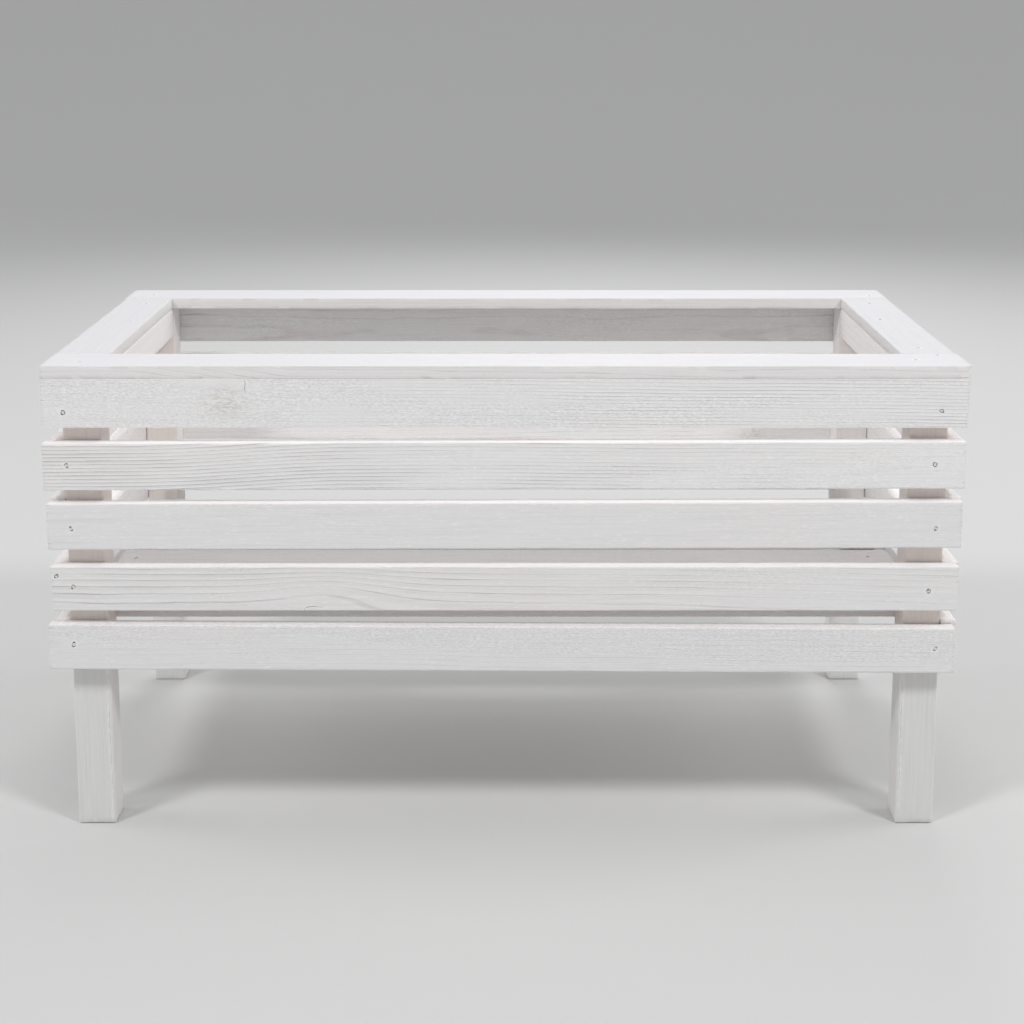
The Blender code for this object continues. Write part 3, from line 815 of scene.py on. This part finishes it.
ownGrain = {  # boards whose grain the photo shows
    "slat_front_1": {
        "Pith Across": 0.14, "Pith Deep": 0.04, "Ring Pitch": 0.0036, "Wander": 0.003,
        "Ripple": 0.5, "Relief": 0.00013, "Relief Lean": 1.7, "Fuzz": 0.00011,
        "Fuzz Cover": 0.58, "Fuzz Lean": 0.0, "Fuzz Drift": 0.3,
        "Knot Along": -0.302, "Knot Across": 0.001, "Knot Size": 0.024, "Knot Reach": 1.3,
        "Knot Stain": 0.58, "Right Skew": 0.0015, "Arris": 0.00013,
        "Unevenness": 0.00012, "Second Share": 0.1, "Tone": 1.04},
    "slat_front_2": {
        "Pith Across": -0.19, "Pith Deep": 0.03, "Ring Pitch": 0.0040, "Taper": 0.004,
        "Wander": 0.003, "Ripple": 0.35, "Bend Rise": 0.011, "Bend From": -0.41,
        "Bend To": -0.17, "Relief": 0.00026, "Relief Lean": -1.2, "Fuzz": 0.00006,
        "Fuzz Cover": 0.4, "Fuzz Drift": -0.5, "End Tear": 0.0009, "Tone": 1.06},
    "slat_front_3": {
        "Pith Across": -0.2, "Pith Deep": 0.03, "Ring Pitch": 0.0042, "Taper": -0.004,
        "Wander": 0.003, "Relief": 0.00004, "Fuzz": 0.00005, "Fuzz Cover": 0.3, "Tone": 1.0},
    "slat_front_4": {
        "Pith Across": -0.036, "Pith Deep": 0.042, "Ring Pitch": 0.0046, "Taper": 0.012,
        "Wander": 0.004, "Ripple": 0.4, "Relief": 0.00021, "Relief Lean": -0.7, "Fuzz": 0.00008,
        "Fuzz Cover": 0.3, "Knot Along": -0.195, "Knot Across": -0.0265, "Knot Size": 0.021,
        "Knot Reach": 3.2, "Left Skew": 0.0022, "Second Share": 0.2, "Tone": 1.0},
    "slat_front_5": {
        "Pith Across": 0.2, "Pith Deep": 0.08, "Ring Pitch": 0.0052, "Wander": 0.004,
        "Relief": 0.00007, "Relief Lean": 0.5, "Fuzz": 0.0001, "Fuzz Cover": 0.5,
        "Fuzz Lean": 1.2, "Fuzz Drift": -0.5, "Second Share": 0.6, "Tone": 0.985},
    "slat_back_3": {
        "Knot Along": -0.334, "Knot Across": -0.017, "Knot Size": 0.016, "Knot Reach": 1.3,
        "Knot Stain": 0.5},
    "rim_front": {"Corner": 0.006, "Pith Across": 0.03, "Pith Deep": 0.05, "Taper": 0.004,
                  "Bend Rise": 0.017, "Bend From": -0.41, "Bend To": -0.2, "Relief": 0.00015,
                  "Arris": 0.00014},
    "rim_back": {"Corner": 0.006},
    "rim_left": {"Tone": 0.97}, "rim_right": {"Tone": 0.955},
}

seatedLift = 0.00035  # the top slats reach a little nearer to the rim than their solids
sharpAngle = math.radians(42)

splits = {  # points along and across the board, width, depth, and whether on its lower edge
    "slat_front_1": [([(-0.2797, 0.0275), (-0.2790, 0.021), (-0.2797, 0.0155), (-0.2782, 0.0105)],
                      0.0009, 0.004, False)],
    "slat_front_4": [([(-0.2205, -0.0262), (-0.2187, -0.0222), (-0.2140, -0.0204),
                       (-0.2060, -0.0202), (-0.1930, -0.0228)], 0.0009, 0.004, False)],
    "rim_front": [([(0.4905, 0.0050), (0.4935, 0.0056), (0.4965, 0.0052)], 0.0009, 0.003, True)],
    "leg_front_left": [([(-0.2540, -0.0172), (-0.2050, -0.0183), (-0.1500, -0.0176),
                         (-0.1080, -0.0182), (-0.0660, -0.0178)], 0.0006, 0.002, False)],
    "leg_front_right": [([(-0.2410, 0.0180), (-0.1980, 0.0176), (-0.1490, 0.0184),
                          (-0.0980, 0.0178), (-0.0610, 0.0181)], 0.0006, 0.002, False)],
}

nailPlaces = {  # x and y of the nails that are added to a board
    "rim_front": [(-0.4624, -0.2390), (0.4483, -0.2262), (0.4782, -0.1988)],
    "rim_back": [(0.4810, 0.2176), (-0.4702, 0.2262)],
    "rim_left": [(-0.4638, -0.1586), (-0.4590, 0.0210), (-0.4660, 0.1530)],
    "rim_right": [(0.4690, 0.1531), (0.4594, 0.0317), (0.4662, -0.1560)],
    "floor_board_1": [(-0.4195, -0.1860), (0.4118, -0.1810)],
    "floor_board_4": [],  # no bearer reaches under its ends
}
nailHeight = 0.53  # any height will do for a board that lies flat
strayNails = {  # from the board's end, and how far a nail strays along and across it
    "otherSlat": (0.021, 0.004, 0.007),
    "floorBoard": (0.021, 0.004, 0.009),
}


def boardPlan():  # every board: its node, its group and its spin about Z
    faces = {"front": 0, "back": 180, "left": -90, "right": 90}
    for face, spin in faces.items():
        long = face in ("front", "back")
        yield f"rim_{face}", "longRim" if long else "sideRim", spin
        for row in range(1, 6):
            yield f"slat_{face}_{row}", "frontSlat" if face == "front" else "otherSlat", spin
        if long:
            yield f"floor_rail_{face}", "rail", spin
            for side in ("left", "right"):
                yield f"leg_{face}_{side}", f"{face}Leg", spin
        else:
            yield f"rail_top_{face}", "rail", spin
            yield f"floor_bearer_{face}", "rail", spin
    for number in range(1, 5):
        yield f"floor_board_{number}", "floorBoard", 0


def nailSpots(board, group):  # where nails stand on a board's outer face, and the ones to add
    name = board["name"]
    parts = name.split("_")
    if parts[0] == "slat" and parts[1] in ("front", "back"):
        heads = [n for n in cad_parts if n.startswith(f"nail_{parts[1]}_{parts[2]}_")]
        if name == "slat_front_4":
            heads.append("nail_front_corner")
        middles = [sum(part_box(head), Vector()) / 2 for head in heads]
        return [faceSpot(board, middle) for middle in middles], []
    added = []
    draw = random.Random(name)
    if name in nailPlaces:
        added = [faceSpot(board, (x, y, nailHeight)) for x, y in nailPlaces[name]]
    elif group in strayNails:
        inset, along, across = strayNails[group]
        reach = board["size"].x / 2 - inset
        added = [(side * reach + draw.uniform(-along, along), draw.uniform(-across, across))
                 for side in (-1, 1)]
    return added, added


def makeBoards():
    addedNails = []
    triangles = 0
    for number, (name, groupName, spin) in enumerate(boardPlan(), 1):
        group = groups[groupName]
        board = readBoard(name, group["pose"], spin)
        draw = random.Random(number)
        grain = {label: draw.uniform(*span)
                 for label, span in {**plainGrain, **group["grain"]}.items()}
        grain.update(ownGrain.get(name, {}))
        spots, added = nailSpots(board, groupName)
        cutter = cutHoles(board, spots, splits.get(name, []), number)
        size = board["size"]
        cells = [round(side / step) for side, step in zip((size.x, size.z, size.y), group["cell"])]
        piece = bake(name + "_wood", boardTree, {
            "Length": size.x, "Width": size.z, "Thickness": size.y,
            "Cells Along": cells[0], "Cells Across": cells[1], "Cells Deep": cells[2],
            "Lift": seatedLift if name.startswith("slat_") and name.endswith("_1") else 0.0,
            "Seed": number, "Turn": board["turn"].to_euler(), "Place": board["middle"],
            "Cuts": cutter, "Paint": paints[group["slot"]], **grain})
        bpy.data.objects.remove(cutter)
        piece.data.set_sharp_from_angle(angle=sharpAngle)
        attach(piece, "root")
        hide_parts(name)
        triangles += sum(len(face.vertices) - 2 for face in piece.data.polygons)
        outward = board["turn"] @ Vector((0, -1, 0))
        addedNails += [(onFace(board, x, z), outward) for x, z in added]
    print("boards sawn:", number, "with", triangles, "triangles")
    return addedNails


addedNails = makeBoards()


# Nails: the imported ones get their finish, and the smaller places get nails of their own

drivenNail = {
    "Head Radius": 0.0019, "Head Height": 0.0011, "Shank Radius": 0.0010, "Shank Length": 0.016,
    "Sides": 14, "Sunk": 0.0008, "Tilt": 0.10, "Size Spread": 0.06, "Seed": 4,
}
headTaper, pointTaper = 0.94, 0.3  # the width of a head's top and of a shank's point, of the full width


def makeNailTree():
    tree, given, output = newTree(
        "driven nails", "GeometryNodeTree",
        [("Spots", "Geometry"), *numbers(drivenNail), ("Steel", "Material")],
        [("Geometry", "Geometry")])
    head = node(tree, "GeometryNodeMeshCone", {
        "Vertices": given["Sides"], "Side Segments": 2, "Fill Segments": 2,
        "Radius Top": given["Head Radius"] * headTaper, "Radius Bottom": given["Head Radius"],
        "Depth": given["Head Height"]})
    shank = node(tree, "GeometryNodeMeshCone", {
        "Vertices": given["Sides"], "Radius Top": given["Shank Radius"],
        "Radius Bottom": given["Shank Radius"] * pointTaper, "Depth": given["Shank Length"]})
    sinkHead = combine(tree, 0.0, 0.0, (given["Head Height"] + given["Sunk"]) * -1.0)
    sinkShank = combine(tree, 0.0, 0.0, given["Shank Length"] * -1.0 - given["Sunk"])
    nail = tree.nodes.new("GeometryNodeJoinGeometry")
    for part, sink in ((shank, sinkShank), (head, sinkHead)):
        sunk = node(tree, "GeometryNodeTransform", {"Geometry": part, "Translation": sink})
        tree.links.new(sunk.socket, nail.inputs[0])
    points = node(tree, "GeometryNodeMeshToPoints", {"Mesh": given["Spots"]})
    outward = node(tree, "GeometryNodeInputNamedAttribute", {"Name": "outward"},
                   data_type="FLOAT_VECTOR")
    astray = node(tree, "FunctionNodeRandomValue", {
        0: combine(tree, *[given["Tilt"] * -1.0] * 3), 1: combine(tree, *[given["Tilt"]] * 3),
        "Seed": given["Seed"]}, data_type="FLOAT_VECTOR")
    aim = outward.vector("ADD", astray)
    turn = node(tree, "FunctionNodeAlignRotationToVector", {"Vector": aim}, axis="Z")
    size = node(tree, "FunctionNodeRandomValue", {
        2: 1.0 - given["Size Spread"], 3: given["Size Spread"] + 1.0, "Seed": given["Seed"] + 1.0}, 1)
    driven = node(tree, "GeometryNodeInstanceOnPoints", {
        "Points": points, "Instance": Wire(tree, nail.outputs[0]), "Rotation": turn, "Scale": size})
    real = node(tree, "GeometryNodeRealizeInstances", {"Geometry": driven})
    done = node(tree, "GeometryNodeSetMaterial", {"Geometry": real, "Material": given["Steel"]})
    join(tree, done, output.inputs[0])
    return tree


def makeNails():
    nails = bake("smallNails", makeNailTree(), {**drivenNail, "Steel": nailSteel}, addedNails)
    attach(nails, "root")
    packed = [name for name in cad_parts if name.startswith("nail_")]
    for name in packed:
        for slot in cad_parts[name].material_slots:
            slot.material = nailSteel
    print("nails driven:", len(packed), "packed and", len(addedNails), "added")


makeNails()


# Studio, camera and light

studioFloor = {
    "flat": 5.0, "rise": 5.0,  # the radius of the flat part, and the one that its rim turns up with
    "turn": 70, "steps": 14, "sides": 96,  # degrees that the rim turns, in how many steps and sides
    "colour": (0.62, 0.62, 0.615, 1), "roughness": 0.9,
}


def makeStage():
    flat, rise, sides = studioFloor["flat"], studioFloor["rise"], studioFloor["sides"]
    profile = [(0.0, 0.0), (flat, 0.0)]
    for step in range(1, studioFloor["steps"] + 1):
        angle = math.radians(studioFloor["turn"]) * step / studioFloor["steps"]
        profile.append((flat + rise * math.sin(angle), rise * (1 - math.cos(angle))))
    bm = bmesh.new()
    rings = []
    for radius, height in profile:
        if radius == 0:
            rings.append([bm.verts.new((0, 0, height))])
            continue
        angles = [2 * math.pi * i / sides for i in range(sides)]
        rings.append([bm.verts.new((radius * math.cos(a), radius * math.sin(a), height))
                      for a in angles])
    for first, second in zip(rings, rings[1:]):
        for i in range(sides):
            j = (i + 1) % sides
            corners = [first[i % len(first)], second[i], second[j], first[j % len(first)]]
            bm.faces.new(list(dict.fromkeys(corners)))
    mesh = bpy.data.meshes.new("studioFloor")
    bm.to_mesh(mesh)
    bm.free()
    mesh.shade_smooth()
    floor = newObject("studioFloor", mesh)
    material, tree, shader = newMaterial("studioFloor")
    shader.inputs["Base Color"].default_value = studioFloor["colour"]
    shader.inputs["Roughness"].default_value = studioFloor["roughness"]
    mesh.materials.append(material)


studioLights = {  # place, what it looks at, size, watts
    "keyLeft": ((-2.76, -2.86, 4.31), (0.0, -0.1, 0.3), 1.1, 86.0),
    "keyRight": ((2.76, -2.86, 4.31), (0.0, -0.1, 0.3), 1.1, 90.0),
    "sideLeft": ((-4.17, 0.51, 2.17), (0.0, 0.0, 0.3), 2.0, 32.0),
    "sideRight": ((4.17, 0.51, 2.17), (0.0, 0.0, 0.3), 2.0, 42.0),
    "back": ((0.3, 3.5, 2.6), (0.0, 0.2, 0.35), 2.0, 42.0),
}
studioSky = {"colour": (0.98, 0.985, 1.0, 1), "strength": 0.50}


def makeLights():
    for name, (place, target, size, watts) in studioLights.items():
        light = bpy.data.lights.new(name, "AREA")
        light.shape = "DISK"
        light.size = size
        light.energy = watts
        holder = newObject(name, light)
        holder.location = place
        way = Vector(target) - Vector(place)
        holder.rotation_euler = way.to_track_quat("-Z", "Y").to_euler()
    world = bpy.data.worlds.new("studio")
    world.use_nodes = True
    background = world.node_tree.nodes["Background"]
    background.inputs["Color"].default_value = studioSky["colour"]
    background.inputs["Strength"].default_value = studioSky["strength"]
    bpy.context.scene.world = world


photoView = {  # the photo's viewpoint; looking down takes up part of the shift that its frame has
    "place": (0.0078, -2.2229, 0.9185),
    "down": 9.86,
    "lens": 65.46,
    "sensor": 36.0,
    "shift": (-0.0005, -0.1855),
}


def makeCamera():
    lens = bpy.data.cameras.new("photoView")
    lens.lens = photoView["lens"]
    lens.sensor_width = photoView["sensor"]
    lens.shift_x, lens.shift_y = photoView["shift"]
    camera = newObject("photoView", lens)
    camera.location = photoView["place"]
    camera.rotation_euler = Euler((math.radians(90 - photoView["down"]), 0, 0))
    bpy.context.scene.camera = camera


makeStage()
makeLights()
makeCamera()
bpy.context.scene.view_settings.view_transform = "Standard"
print("studio lit")
